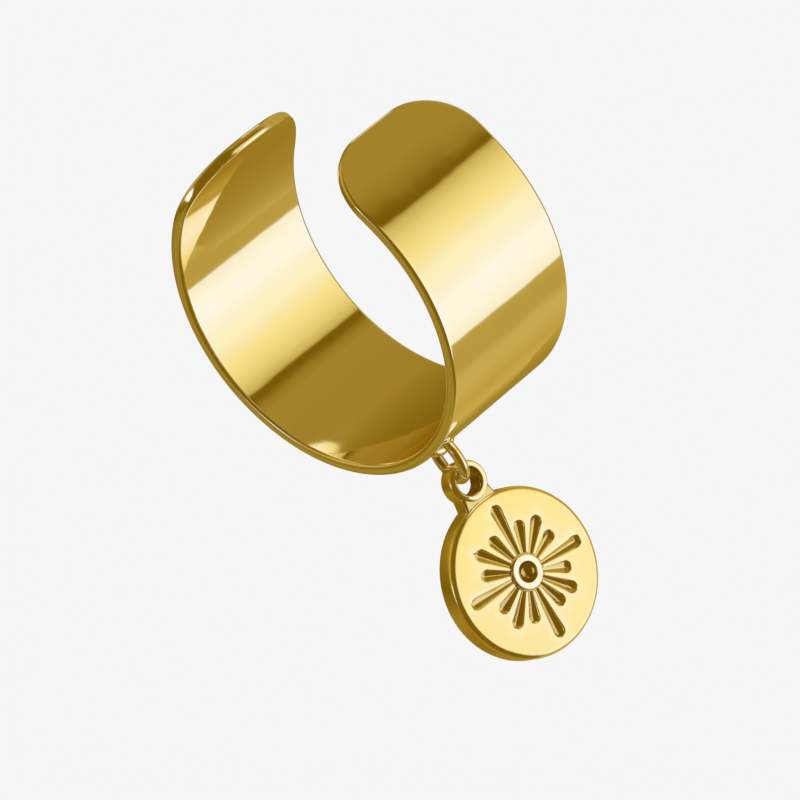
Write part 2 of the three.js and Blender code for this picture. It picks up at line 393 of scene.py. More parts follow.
EYE_TURN = math.radians(-13.2)
EYE_WIRE = 0.64
EYE_HALF = 0.97  # from the eye's middle to a leg's centre line
EYE_LOW_R = 10.535
EYE_FOOT = 0.25
WIRE_SIDES = 24
LEG_STEPS = 26
BOW_STEPS = 60
FILLET_HEIGHT = 0.16
FILLET_SPREAD = 0.55
EYE_RUB = 0.6
WIRE_PAINTED_SHADE = 0.8  # painted shade on the inside of a loop, where the loop shades itself


def carried_circle(path, tangent, flat_normal, radius):
    """A round section carried along a flat path: each point is the path's point plus the
    radius times cosine along the path's own plane and sine across it."""
    inward = np.cross(flat_normal, tangent)
    angle = np.linspace(0, 2 * math.pi, WIRE_SIDES, endpoint=False)
    ring = (
        np.cos(angle)[None, :, None] * inward[:, None, :]
        + np.sin(angle)[None, :, None] * flat_normal[None, None, :]
    )
    return path[:, None, :] + radius[:, None, None] * ring


def skin_faces(rows, columns):
    """The faces of a closed skin of rings: between its rows, and in a fan round the middle point
    of its first ring and of its last. Each fan's face takes two sides of the ring, and the two
    middle points come after all the others."""
    index = np.arange(rows * columns).reshape(rows, columns)
    half = np.arange(0, columns, 2)
    after, beyond = (half + 1) % columns, (half + 2) % columns
    first, last = index[0], index[-1]
    pole = 0 * half + rows * columns
    start_fan = np.stack([first[after], first[beyond], pole, first[half]], -1)
    end_fan = np.stack([last[after], last[half], pole + 1, last[beyond]], -1)
    return np.concatenate([grid_faces(closed_round(index)), start_fan, end_fan])


def wire_surface(sections):
    """The skin over a row of round sections, closed at both ends at their middles."""
    ends = sections[[0, -1]].mean(axis=1)
    points = np.concatenate([sections.reshape(-1, 3), ends])
    return points, skin_faces(*sections.shape[:2])[:, ::-1]


def eye_surface():
    """Up one straight leg, round a half circle and back down the other. The wire's radius
    grows towards the band as a bell curve of the distance from it, which is the solder."""
    foot = BAND_MID_R + BAND_THICK / 2 - EYE_FOOT
    leg = EYE_LOW_R - EYE_HALF - foot
    bow = math.pi * EYE_HALF
    legs = np.linspace(0, leg, LEG_STEPS)
    bow_steps = np.linspace(leg, leg + bow, BOW_STEPS)[1:-1]
    along = np.concatenate([legs, bow_steps, leg + bow + legs])
    angle = np.clip((along - leg) / EYE_HALF, 0, math.pi)
    down = np.minimum(along, leg) - np.maximum(along - leg - bow, 0)
    across_band = np.array([0.0, 1.0, 0.0])
    outward = np.array([math.sin(EYE_TURN), 0.0, -math.cos(EYE_TURN)])
    sideways = -EYE_HALF * np.cos(angle)
    outwards = foot + down + EYE_HALF * np.sin(angle)
    path = sideways[:, None] * across_band + outwards[:, None] * outward
    tangent = np.sin(angle)[:, None] * across_band + np.cos(angle)[:, None] * outward
    off_band = outwards - (BAND_MID_R + BAND_THICK / 2)
    fillet = FILLET_SPREAD * np.exp(-((np.maximum(off_band, 0) / FILLET_HEIGHT) ** 2))
    radius = EYE_WIRE / 2 * (1 + fillet)
    sections = carried_circle(path, tangent, np.cross(across_band, outward), radius)
    points, faces = wire_surface(sections)
    wear = np.concatenate([np.repeat(np.clip(np.sin(angle), 0, 1), WIRE_SIDES), [0, 0]])
    # Painted shade darkens the inside of the loop, where the loop shades itself.
    past_legs = np.maximum(points @ outward - foot - leg, 0)
    from_middle = np.hypot(points[:, 1], past_legs)
    inside = np.clip((EYE_HALF - from_middle) / (EYE_WIRE / 2), 0, 1)
    return points, faces, EYE_RUB * wear, WIRE_PAINTED_SHADE * inside


band_eye = mesh_piece("band_eye", band_gold, *eye_surface())
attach(band_eye, "band")


# ---- Jump ring ------------------------------------------------------------------------------
# A round wire ring, opened sideways to pass through the eye and the bail and pushed shut
# again. The two cut ends meet in a fine butt joint.

JUMP_WIRE = 0.58
JUMP_INNER_R = 1.0
EYE_GAP = 0.06
BAIL_GAP = 0.18
CHARM_YAW = math.radians(8.2)  # what hangs turns a little about the vertical
JUMP_YAW = math.radians(17)  # the jump ring turns a little more than the charm
JUMP_STEPS = 120
JUMP_RUB = 0.5
JOINT_TURN = math.radians(205)  # where the ends meet, round from the ring's far side
JOINT_GAP = math.radians(0.9)
CUT_ROUND = 0.035
CUT_STEPS = 5
CUT_CLEAR = 2  # points of the even turn that each cut's round takes the place of

eye_low = EYE_LOW_R * np.array([math.sin(EYE_TURN), 0.0, -math.cos(EYE_TURN)])
jump_centre = eye_low + np.array([0, 0, EYE_WIRE / 2 + EYE_GAP - JUMP_INNER_R])
face_out = np.array([math.cos(CHARM_YAW), -math.sin(CHARM_YAW), 0.0])
face_across = np.array([math.sin(CHARM_YAW), math.cos(CHARM_YAW), 0.0])
upright = np.array([0.0, 0.0, 1.0])
jump_out = np.array([math.cos(JUMP_YAW), -math.sin(JUMP_YAW), 0.0])
jump_across = np.array([math.sin(JUMP_YAW), math.cos(JUMP_YAW), 0.0])


def jump_surface():
    """A full turn of wire less the joint's gap, on a circle in the plane of the face's
    outward direction and the vertical. At the cut ends the radius drops by a small round."""
    turn = JOINT_TURN + np.linspace(JOINT_GAP, 2 * math.pi - JOINT_GAP, JUMP_STEPS)
    middle_r = JUMP_INNER_R + JUMP_WIRE / 2
    quarter = np.linspace(0, math.pi / 2, CUT_STEPS)
    inwards = CUT_ROUND / middle_r * (1 - np.cos(quarter))
    uncut = turn[CUT_CLEAR:-CUT_CLEAR]
    turn = np.concatenate([turn[0] + inwards, uncut, turn[-1] - inwards[::-1]])
    drop = CUT_ROUND * (1 - np.sin(quarter))
    shrink = np.concatenate([drop, 0 * uncut, drop[::-1]])
    spoke = np.cos(turn)[:, None] * jump_out + np.sin(turn)[:, None] * upright
    path = jump_centre + middle_r * spoke
    tangent = -np.sin(turn)[:, None] * jump_out + np.cos(turn)[:, None] * upright
    sections = carried_circle(path, tangent, -jump_across, JUMP_WIRE / 2 - shrink)
    points, faces = wire_surface(sections)
    # Painted shade darkens the inside of the ring, where the ring shades itself.
    from_middle = np.linalg.norm(points - jump_centre, axis=1)
    inside = np.clip((middle_r - from_middle) / (JUMP_WIRE / 2), 0, 1)
    return points, faces, np.full(len(points), JUMP_RUB), WIRE_PAINTED_SHADE * inside


jump_gold = gold_material(
    "jump_ring_gold",
    gold=(0.96, 0.80, 0.42),
    deep=GOLD_DEEP,
    rubbed_gold=(0.98, 0.86, 0.56),
    roughness=0.07,
    haze=0.05,
    ripple=1.0,
    hairlines=0.05,
    relief=0.00002,
)

jump_ring = mesh_piece("jump_ring_wire", jump_gold, *jump_surface())
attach(jump_ring, "jump_ring")
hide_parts("jump_ring")


# ---- Charm disc -----------------------------------------------------------------------------
# A thick round disc, cast with its sunburst and then plated: sixteen tapered grooves with
# round ends, cut round a raised flat ring with a dimple in its middle.

CHARM_R = 4.6
CHARM_THICK = 1.5
CHARM_EDGE = 0.3
CHARM_FORWARD = 0.0206
BAIL_UP = 5.74
BAIL_HOLE_R = 0.7
# Each ray's direction in degrees, round from the disc's right-hand side, and its length: long,
# short, middle, short and so on, cut by hand and so not quite even.
RAYS = (
    (84.5, 3.95),
    (64.5, 2.78),
    (41.5, 3.12),
    (19.0, 2.75),
    (-6.0, 3.88),
    (-27.0, 2.8),
    (-49.5, 3.2),
    (-70.0, 2.8),
    (-93.0, 3.95),
    (-115.5, 2.75),
    (-138.5, 3.1),
    (-162.0, 2.75),
    (174.5, 3.9),
    (151.5, 2.85),
    (129.5, 3.25),
    (107.5, 2.82),
)
RAY_START_HALF = 0.14
RAY_START = 0.96
RAY_END_HALF = 0.35
HUB_R = 0.93
HUB_RISE = 0.1
HUB_GROOVE = 0.11
HUB_GROOVE_DEPTH = 0.16
DIMPLE_R = 0.57
DIMPLE_DEPTH = 0.52
LIP_R = 0.03
# A groove's slope in degrees by the part of its half width, and where its columns stand.
GROOVE_SLOPES = ((0, 2), (0.14, 24), (0.8, 28), (0.88, 62), (0.94, 60), (1, 0))
GROOVE_PLACES = ((0, 0), (0.3, 0.18), (0.5, 0.76), (1, 1))
SLOPE_STEPS = 2001
GROOVE_COLUMNS = 20
DOME = 0.1  # how far the face falls off from its middle to its rim
LAND_COLUMNS = 4
THIN_LINE = 0.012  # what a groove's columns keep past its tip
STEEPEST = 0.95  # the sine that a groove's angle from its ray never passes
# The disc's rings, from its middle out and over to the back: even ones reach from the hub to
# where the shortest ray's round end starts, and from past the longest ray to the rim.
DIMPLE_RINGS = 15
LIP_RINGS = (0, 0.1, 0.3, 0.6, 1)
HUB_GROOVE_RINGS = 8
EVEN_RINGS = 18
EVEN_TO = 2.4
RAY_END_RINGS = 7
RIM_FROM = 4.02
RIM_RINGS = 5
RINGS_APART = 0.002
EDGE_RINGS = 9
BACK_RINGS = (4.2, 4.0, 3.4, 2.7, 2.0)
# Painted shade: how far it darkens the dimple and the hub's groove, and the rays at their deepest.
HUB_PAINTED_SHADE = 0.55
RAY_PAINTED_SHADE = 0.25
RUB_REACH = 0.8
LAND_RUB = 0.8
HUB_RUB = 2.0
RIM_RUB_IN = 0.1
RIM_RUB_REACH = 0.12

bail_centre = jump_centre - np.array([0, 0, JUMP_INNER_R - BAIL_GAP + BAIL_HOLE_R])
bail_middle = bail_centre + CHARM_FORWARD * face_out
disc_centre = bail_middle - BAIL_UP * upright


def on_charm(centre, right, up, out):
    """The place this far right, up and out from the centre, as one looks at the charm's face."""
    flat = right[..., None] * face_across + up[..., None] * upright
    return centre + flat + out[..., None] * face_out


def groove_section(count):
    """Half of a groove's section for a half width of 1, from its middle to its lip. Its slope
    rises fast from a narrow round bottom to an even wall, steepens towards the lip and turns
    back to the flat in a small round. Its height is the running sum of the slope. Returns how
    far across and how deep."""
    fine = np.linspace(0, 1, SLOPE_STEPS)
    at, degrees = np.transpose(GROOVE_SLOPES)
    slope = np.interp(fine, at, np.tan(np.radians(degrees)))
    rise = np.concatenate([[0], np.cumsum((slope[1:] + slope[:-1]) / 2 * np.diff(fine))])
    place = np.interp(np.linspace(0, 1, count), *np.transpose(GROOVE_PLACES))
    return place, rise[-1] - np.interp(place, fine, rise)


def ray_half_width(r, tip):
    """A groove's half width at a distance from the hub: it widens evenly, and its end is a
    half circle, so there it is the square root of what the circle leaves."""
    end = tip - RAY_END_HALF
    even = RAY_START_HALF + (RAY_END_HALF - RAY_START_HALF) * (r - RAY_START) / (end - RAY_START)
    past = np.clip(r - end, 0, RAY_END_HALF)
    return np.where(r < end, even, np.sqrt(RAY_END_HALF**2 - past**2))


def hub_height(r):
    """Height of the hub by distance from the centre: a dimple that is part of a ball, a raised
    ring with two small rounds, a round-bottomed groove about it, and 0 outside."""
    ball = (DIMPLE_R**2 + DIMPLE_DEPTH**2) / (2 * DIMPLE_DEPTH)
    dimple = HUB_RISE + ball - DIMPLE_DEPTH - np.sqrt(np.maximum(ball**2 - r**2, 0))
    inner_round = np.clip((DIMPLE_R + LIP_R - r) / LIP_R, 0, 1)
    outer_round = np.clip((r - HUB_R + LIP_R) / LIP_R, 0, 1)
    ring = HUB_RISE - LIP_R * (2 - np.sqrt(1 - inner_round**2) - np.sqrt(1 - outer_round**2))
    across_groove = np.clip((r - HUB_R) / HUB_GROOVE, 0, 1)
    groove = -HUB_GROOVE_DEPTH * np.sqrt(1 - across_groove**2) * (across_groove < 1)
    past_dimple = np.where(r <= HUB_R, ring, groove)
    return np.where(r < DIMPLE_R, np.minimum(dimple, HUB_RISE - LIP_R), past_dimple)


def disc_front():
    """The engraved front as rings by columns. Each ray's columns follow its groove's two sides
    and then spread to the lines halfway to its neighbours, and the height is the groove's
    section times its half width."""
    section_x, section_depth = groove_section(GROOVE_COLUMNS // 2 + 1)
    round_end = np.sin(np.linspace(0, math.pi / 2, RAY_END_RINGS))
    lip = LIP_R * np.array(LIP_RINGS)
    # The dimple's rings stop short of its middle point and of its lip, as the groove's do.
    r = np.concatenate(
        [
            DIMPLE_R * np.sin(np.linspace(0.1, 0.98, DIMPLE_RINGS) * math.pi / 2),
            DIMPLE_R + lip,
            HUB_R - lip,
            HUB_R + HUB_GROOVE * np.sin(np.linspace(0.03, 1, HUB_GROOVE_RINGS) * math.pi / 2),
            np.linspace(HUB_R + HUB_GROOVE + 0.04, EVEN_TO, EVEN_RINGS),
            *(length - RAY_END_HALF * (1 - round_end) for _, length in RAYS),
            np.linspace(RIM_FROM, CHARM_R - CHARM_EDGE, RIM_RINGS),
        ]
    )
    r = np.unique(np.round(r, 4))
    r = r[np.concatenate([[True], np.diff(r) > RINGS_APART])]
    in_rays = r > RAY_START - 0.02
    spread = np.linspace(0, 1, LAND_COLUMNS + 1)[None, 1:]
    turns = np.unwrap([math.radians(ray[0]) for ray in RAYS])
    before = (turns - np.roll(turns, 1)) % (-2 * math.pi)
    after = np.roll(before, -1)
    angles, heights, rubs = [], [], []
    for (_, length), turn, to_before, to_after in zip(RAYS, turns, -before / 2, -after / 2):
        half = np.where(r < length, np.maximum(ray_half_width(r, length), THIN_LINE), THIN_LINE)
        half = np.where(r < RAY_START, RAY_START_HALF * r / RAY_START, half)
        deep = np.where((r < length) & in_rays, ray_half_width(r, length), 0)
        groove_angle = np.arcsin(np.clip(half[:, None] * section_x / r[:, None], 0, STEEPEST))
        lip_angle = groove_angle[:, -1:]
        towards_before, towards_after = (
            np.concatenate([groove_angle, lip_angle + (to_middle - lip_angle) * spread], axis=1)
            for to_middle in (to_before, to_after)
        )
        land = np.zeros((len(r), LAND_COLUMNS))
        side_height = np.concatenate([-deep[:, None] * section_depth, land], axis=1)
        both_sides = np.concatenate([towards_before[:, :0:-1], -towards_after[:, :-1]], axis=1)
        angles.append(turn + both_sides)
        heights.append(np.concatenate([side_height[:, :0:-1], side_height[:, :-1]], axis=1))
        # How far the land's columns stand from the lip decides how rubbed they are.
        from_lip = r[:, None] * np.abs(towards_before - lip_angle)
        beside = np.clip(1 - from_lip / RUB_REACH, 0, 1) * (towards_before >= lip_angle)
        beside = beside * np.clip((length + RUB_REACH - r) / RUB_REACH, 0, 1)[:, None]
        rubs.append(np.concatenate([beside[:, :0:-1], beside[:, :-1]], axis=1))
    angle = np.concatenate(angles, axis=1)[:, ::-1]
    height = np.concatenate(heights, axis=1)[:, ::-1]
    rub = np.concatenate(rubs, axis=1)[:, ::-1] * in_rays[:, None]
    hub = hub_height(r)[:, None]
    height = np.where(in_rays[:, None], np.minimum(height, hub), hub)
    return r[:, None] + 0 * angle, angle, height, rub


def disc_surface():
    """The engraved front, then the rounded edge, wall, rounded edge and flat back, ring by
    ring on the same columns, closed by a point at the middle of each side."""
    r, angle, height, rub = disc_front()
    front = CHARM_THICK / 2 + height - DOME * (r / (CHARM_R - CHARM_EDGE)) ** 2
    turn = np.linspace(0, math.pi / 2, EDGE_RINGS)
    flat = CHARM_THICK / 2 - CHARM_EDGE
    edge_r = CHARM_R - CHARM_EDGE + CHARM_EDGE * np.concatenate([np.sin(turn[1:]), np.cos(turn)])
    front_edge, back_edge = CHARM_EDGE * np.cos(turn[1:]), -CHARM_EDGE * np.sin(turn)
    back_z = np.full(len(BACK_RINGS), -CHARM_THICK / 2)
    rest_r = np.concatenate([edge_r, BACK_RINGS])[:, None]
    rest_z = np.concatenate([flat - DOME + front_edge, -flat + back_edge, back_z])[:, None]
    columns = angle.shape[1]
    all_r = np.concatenate([r, np.repeat(rest_r, columns, 1)])
    all_z = np.concatenate([front, np.repeat(rest_z, columns, 1)])
    all_angle = np.concatenate([angle, np.repeat(angle[-1:], len(rest_r), 0)])
    points = on_charm(disc_centre, all_r * np.cos(all_angle), all_r * np.sin(all_angle), all_z)
    poles = disc_centre + np.outer([front[0, 0], -CHARM_THICK / 2], face_out)
    wear = np.clip(1 - np.abs(all_r - (CHARM_R - RIM_RUB_IN)) / RIM_RUB_REACH, 0, 1)
    # The polishing wheel rubs the lands between the rays, and the top of the hub, paler.
    on_hub = np.clip((r - DIMPLE_R) / LIP_R, 0, 1) * np.clip((HUB_R - r) / LIP_R, 0, 1)
    wear[: len(r)] += np.maximum(LAND_RUB * rub, HUB_RUB * on_hub)
    # Painted shade darkens the dimple and the groove round the hub, and the rays a little, more
    # where they are deeper.
    in_hub = (r < DIMPLE_R + LIP_R / 2) | ((r > HUB_R - LIP_R / 2) & (r < HUB_R + HUB_GROOVE))
    painted_shade = np.where(in_hub, HUB_PAINTED_SHADE, RAY_PAINTED_SHADE * np.clip(-height / RAY_START_HALF, 0, 1))
    painted_shade = np.concatenate([painted_shade.ravel(), np.zeros(rest_r.size * columns), [HUB_PAINTED_SHADE, 0]])
    points = np.concatenate([points.reshape(-1, 3), poles])
    wear = np.concatenate([wear.ravel(), [0, 0]])
    return points, skin_faces(*all_r.shape), wear, painted_shade


charm_gold = gold_material(
    "charm_gold",
    gold=(0.98, 0.758, 0.28),
    deep=(0.95, 0.715, 0.225),
    rubbed_gold=(1.0, 0.87, 0.56),
    roughness=0.1,
    haze=0.08,
    ripple=1.0,
    hairlines=0.02,
    relief=0.00012,
)

charm_disc = mesh_piece("charm_disc", charm_gold, *disc_surface())
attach(charm_disc, "charm")
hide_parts("charm")


# ---- Bail -----------------------------------------------------------------------------------
# A thick ring that the jump ring runs through, cast in one with the disc. Its rims are rounded
# by the polish, more on one side than on the other, and its hole is darkened with painted shade.

BAIL_R = 1.15
BAIL_THICK = 1.2
BAIL_OUTER_ROUND = (0.21, 0.1)  # even part, and what it gains on one side and loses on the other
BAIL_INNER_ROUND = 0.18
BAIL_STEPS = 144
BAIL_CORNER_STEPS = 8
BAIL_RUB_DEPTH = 0.1
BAIL_RUB_FADE = 0.08
# Painted shade darkens the hole and part of its round, fading out over a short way.
HOLE_PAINTED_SHADE = 1.0
HOLE_SHADED_TO = 0.6  # the part of the hole's round that the painted shade reaches
HOLE_FADE = 0.04


def bail_surface():
    """A rounded rectangle turned about the hole: each corner is a quarter circle, and the outer
    ones' radius follows the sine of the turn."""
    turn = np.linspace(0, 2 * math.pi, BAIL_STEPS, endpoint=False)[:, None]
    quarter = np.linspace(0, math.pi / 2, BAIL_CORNER_STEPS + 1)
    rise, fall = 1 - np.sin(quarter), 1 - np.cos(quarter)
    even, more = BAIL_OUTER_ROUND
    outer = even - more * np.sin(turn)
    inner = BAIL_INNER_ROUND + 0 * turn
    # Round the section: out over the front, down the outer wall, in over the back, up the hole.
    reach = [BAIL_R - outer * rise, BAIL_R - outer * fall]
    reach += [BAIL_HOLE_R + inner * rise, BAIL_HOLE_R + inner * fall]
    reach = np.concatenate(reach, axis=1)
    half = BAIL_THICK / 2
    depth = [half - outer * fall, -half + outer * rise, -half + inner * fall, half - inner * rise]
    depth = np.concatenate(depth, axis=1)
    points = on_charm(bail_middle, reach * np.sin(turn), reach * np.cos(turn), depth)
    index = np.arange(reach.size).reshape(reach.shape)
    faces = grid_faces(closed_round(np.concatenate([index, index[:1]])))
    # Painted shade darkens the hole and the inner part of its round, where nothing is rubbed.
    shaded_to = BAIL_HOLE_R + HOLE_SHADED_TO * BAIL_INNER_ROUND
    in_hole = np.clip((shaded_to - reach) / HOLE_FADE, 0, 1)
    rubbed = np.clip((np.abs(depth) - half + BAIL_RUB_DEPTH) / BAIL_RUB_FADE, 0, 1)
    wear = rubbed * (1 - in_hole)
    return points.reshape(-1, 3), faces, wear.ravel(), HOLE_PAINTED_SHADE * in_hole.ravel()


charm_bail = mesh_piece("charm_bail", charm_gold, *bail_surface())
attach(charm_bail, "charm")


# ---- Neck -----------------------------------------------------------------------------------
# The short web that joins the bail to the disc, thinner than both and hollowed at its sides,
# where the casting was filed. A little painted shade darkens all of it.

NECK_HALF = 0.91
NECK_FLARE = 0.26
NECK_THICK = 1.04
NECK_EDGE = 0.14
NECK_REACH = 1.62  # from the hole's centre down to its foot, inside the disc
NECK_HIDE_R = 0.93  # its top follows this circle round the hole, inside the bail
NECK_ROWS = 14
NECK_COLUMNS = 13
NECK_CORNER_STEPS = 4
# A little painted shade over the whole neck.
NECK_PAINTED_SHADE = 0.3


def neck_surface():
    """A rounded rectangle carried up from the foot to the circle inside the bail. It widens
    towards the foot as the square of the way down, and each point climbs to its own place on
    the circle: the root of what its distance across leaves. Front and back points are paired,
    so strips between the pairs close both ends."""
    way_up = np.linspace(0, 1, NECK_ROWS)[:, None]
    quarter = np.linspace(0, math.pi / 2, NECK_CORNER_STEPS + 1)
    row = np.linspace(1, -1, NECK_COLUMNS)
    corner = np.ones(NECK_CORNER_STEPS)
    # The front half of the section, from its right side to its left: the middle line of the
    # row, and how far the rounding carries each point across and out.
    middle = np.concatenate([corner, row, -corner])
    turn = np.concatenate([quarter[:-1], math.pi / 2 + 0 * row, math.pi / 2 + quarter[1:]])
    half = NECK_HALF + NECK_FLARE * (1 - way_up) ** 2
    x = middle * (half - NECK_EDGE) + NECK_EDGE * np.cos(turn)
    depth = NECK_THICK / 2 - NECK_EDGE + NECK_EDGE * np.sin(turn) + 0 * x
    x = np.concatenate([x, x[:, ::-1]], axis=1)
    depth = np.concatenate([depth, -depth[:, ::-1]], axis=1)
    top = -np.sqrt(np.maximum(NECK_HIDE_R**2 - x**2, 0))
    height = -NECK_REACH + way_up * (top + NECK_REACH)
    points = on_charm(bail_middle, x, height, depth).reshape(-1, 3)
    index = np.arange(x.size).reshape(x.shape)
    front_half = x.shape[1] // 2
    pairs = np.stack([index[:, :front_half], index[:, : front_half - 1 : -1]], axis=-1)
    foot, top = grid_faces(pairs[0]), grid_faces(pairs[-1])[:, ::-1]
    faces = np.concatenate([grid_faces(closed_round(index)), foot, top])
    return points, faces, np.zeros(len(points)), np.full(len(points), NECK_PAINTED_SHADE)


charm_neck = mesh_piece("charm_neck", charm_gold, *neck_surface())
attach(charm_neck, "charm")


# ---- Floor, studio and camera ---------------------------------------------------------------
# A plain pale floor below the charm and a pale room. Only the polished gold sees the panels
# round it: a tall bright one to the ring's right, olive-brown walls, and two small cards.

FLOOR_Z = -23.4
PALE_TONE = (0.92, 0.92, 0.92)

# Tones as the gold gives them back, in display values, from dark to pale.
DEEP = (122, 90, 7)
UMBER = (133, 101, 16)
OLIVE_SHADE = (141, 109, 24)
DULL_OLIVE = (150, 118, 31)
SEAM_OLIVE = (152, 120, 33)
CARD_OLIVE = (155, 123, 36)
SEAM_LIT = (156, 124, 37)
OLIVE = (160, 128, 40)
CARD_LIT = (163, 131, 44)
OLIVE_LIT = (164, 132, 45)
CARD_BRONZE = (176, 145, 56)
BRONZE = (180, 149, 59)
OCHRE = (183, 153, 62)
PALE_OCHRE = (186, 155, 64)
PALE_OLIVE = (191, 160, 69)
CARD_STRAW = (195, 164, 73)
STRAW = (202, 171, 81)
WARM = (227, 201, 113)
HONEY = (241, 216, 130)
YELLOW = (250, 226, 141)
BUTTER = (254, 237, 176)
LEMON = (255, 240, 187)
CREAM = (254, 243, 206)
WHITE_CREAM = (255, 248, 226)

# Tones round the finger's axis, from straight down (0), by +X (90), to straight up (180).
BEHIND = (
    (-180, OLIVE),
    (-163, DULL_OLIVE),
    (-150, OLIVE_SHADE),
    (-125, UMBER),
    (-76, DEEP),
    (-72, OLIVE),
    (-52, OLIVE),
    (-44, OCHRE),
    (-37, STRAW),
    (-22, PALE_OLIVE),
    (-6, STRAW),
    (3, STRAW),
    (10, PALE_OCHRE),
    (20, PALE_OCHRE),
    (28, PALE_OLIVE),
    (29.5, CREAM),
    (46, WHITE_CREAM),
    (56, WHITE_CREAM),
    (65, CREAM),
    (79, LEMON),
    (93, YELLOW),
    (101, HONEY),
    (108, WARM),
    (115, STRAW),
    (116.5, DEEP),
)
# The dark seam above the bright panel is wide near the ring and narrower further behind.
ABOVE_SEAM = ((145, OLIVE_LIT), (180, OLIVE))
WIDE_SEAM = ((120.5, DEEP), (126, SEAM_OLIVE), (132, OLIVE_LIT), *ABOVE_SEAM)
NARROW_SEAM = ((118, DEEP), (122.5, SEAM_LIT), (129, OLIVE_LIT), *ABOVE_SEAM)
BEFORE = (
    (-180, OLIVE),
    (-165, PALE_OLIVE),
    (-142, PALE_OLIVE),
    (-132, BRONZE),
    (-118, OLIVE_SHADE),
    (-100, DEEP),
    (-75, OLIVE),
    (-60, OLIVE_SHADE),
    (-45, OLIVE),
    (-15, OLIVE),
    (10, DEEP),
    (140, DEEP),
    (180, OLIVE_SHADE),
)
NEAR_END = (
    (-180, WHITE_CREAM),
    (-150, WHITE_CREAM),
    (-140, BUTTER),
    (-130, OLIVE_SHADE),
    (-100, DEEP),
    (-75, OLIVE),
    (-45, OLIVE),
    (10, DEEP),
    (158, DEEP),
    (166, CREAM),
    (180, WHITE_CREAM),
)
FAR_END = BRONZE

# Along the finger, as the sine of the angle from the ring's plane, one wall gives way to the
# next between two borders.
NEAR_END_TO_BEFORE = (-0.93, -0.87)
BEFORE_TO_BEHIND = (0.05, 0.22)
WIDE_TO_NARROW_SEAM = (0.61, 0.642)
BEHIND_TO_FAR_END = (0.67, 0.85)

# The walls are cloth, in a few faint folds.
FOLD_PATCHES = 2.2
FOLD_LEAST = 0.52
FOLD_STRENGTH = 0.35
FOLD_SHADE = 0.5

# The display curve: straight up to the knee, and a power of the offset value past it.
DISPLAY_KNEE = 0.04045
DISPLAY_SLOPE = 12.92
DISPLAY_OFFSET = 0.055
DISPLAY_POWER = 2.4


def studio_colour(tone):
    """The light that the gold turns into this tone: the display value made linear, divided by
    the gold's own colour."""
    shown = np.array(tone) / 255
    bent = ((shown + DISPLAY_OFFSET) / (1 + DISPLAY_OFFSET)) ** DISPLAY_POWER
    linear = np.where(shown > DISPLAY_KNEE, bent, shown / DISPLAY_SLOPE)
    return tuple((linear / GOLD).tolist())


def tone_ramp(tree, place, stops):
    """The tones of the stops (value, tone), by place: 0 at the first stop's value, 1 at the
    last one's, and even between."""
    node = tree.nodes.new("ShaderNodeValToRGB")
    elements = node.color_ramp.elements
    elements.remove(elements[-1])
    start, end = stops[0][0], stops[-1][0]
    for n, (value, tone) in enumerate(stops):
        part = (value - start) / (end - start)
        element = elements[0] if n == 0 else elements.new(part)
        element.position = part
        element.color = (*studio_colour(tone), 1.0)
    tree.links.new(place, node.inputs["Fac"])
    return node.outputs["Color"]


def soft_step(tree, value, borders):
    """0 before the first border, 1 after the second, and a smooth step between them."""
    node = tree.nodes.new("ShaderNodeMapRange")
    node.interpolation_type = "SMOOTHSTEP"
    node.inputs["From Min"].default_value, node.inputs["From Max"].default_value = borders
    tree.links.new(value, node.inputs["Value"])
    return node.outputs["Result"]


studio = bpy.data.worlds.new("studio")
bpy.context.scene.world = studio
studio.use_nodes = True
tree = studio.node_tree
tree.nodes.clear()
direction = tree.nodes.new("ShaderNodeTexCoord").outputs["Generated"]
parts = tree.nodes.new("ShaderNodeSeparateXYZ")
tree.links.new(direction, parts.inputs[0])
downwards = math_node(tree, "MULTIPLY", parts.outputs["Z"], -1.0)
round_finger = math_node(tree, "ARCTAN2", parts.outputs["X"], downwards)
place = math_node(tree, "ADD", math_node(tree, "DIVIDE", round_finger, 2 * math.pi), 0.5)
along_finger = parts.outputs["Y"]
walls, before, wide, narrow = (
    tone_ramp(tree, place, stops)
    for stops in (NEAR_END, BEFORE, BEHIND + WIDE_SEAM, BEHIND + NARROW_SEAM)
)
behind = mix_colours(tree, soft_step(tree, along_finger, WIDE_TO_NARROW_SEAM), wide, narrow)
for borders, wall in (
    (NEAR_END_TO_BEFORE, before),
    (BEFORE_TO_BEHIND, behind),
    (BEHIND_TO_FAR_END, studio_colour(FAR_END)),
):
    walls = mix_colours(tree, soft_step(tree, along_finger, borders), walls, wall)
folds = noise(tree, direction, FOLD_PATCHES, detail=3.0)
folds = math_node(tree, "SUBTRACT", folds, FOLD_LEAST)
folds = math_node(tree, "MULTIPLY", folds, FOLD_STRENGTH, clamp=True)
room = mix_colours(tree, folds, walls, tuple(FOLD_SHADE * c for c in studio_colour(OLIVE)))
seen_directly = tree.nodes.new("ShaderNodeLightPath").outputs["Is Camera Ray"]
shown = mix_colours(tree, seen_directly, room, PALE_TONE)
background = tree.nodes.new("ShaderNodeBackground")
tree.links.new(shown, background.inputs["Color"])
world_out = tree.nodes.new("ShaderNodeOutputWorld")
tree.links.new(background.outputs[0], world_out.inputs["Surface"])


FLOOR_RINGS = (0.01, 20.0, 60.0, 200.0, 900.0)
FLOOR_SIDES = 64


def plain_light(name, colour):
    """A material that only shines, evenly, with this colour, and its colour's socket."""
    material = bpy.data.materials.new(name)
    material.use_nodes = True
    nodes, links = material.node_tree.nodes, material.node_tree.links
    nodes.clear()
    glow = nodes.new("ShaderNodeEmission")
    glow.inputs["Color"].default_value = (*colour, 1.0)
    out = nodes.new("ShaderNodeOutputMaterial")
    links.new(glow.outputs[0], out.inputs["Surface"])
    return material, glow.inputs["Color"]


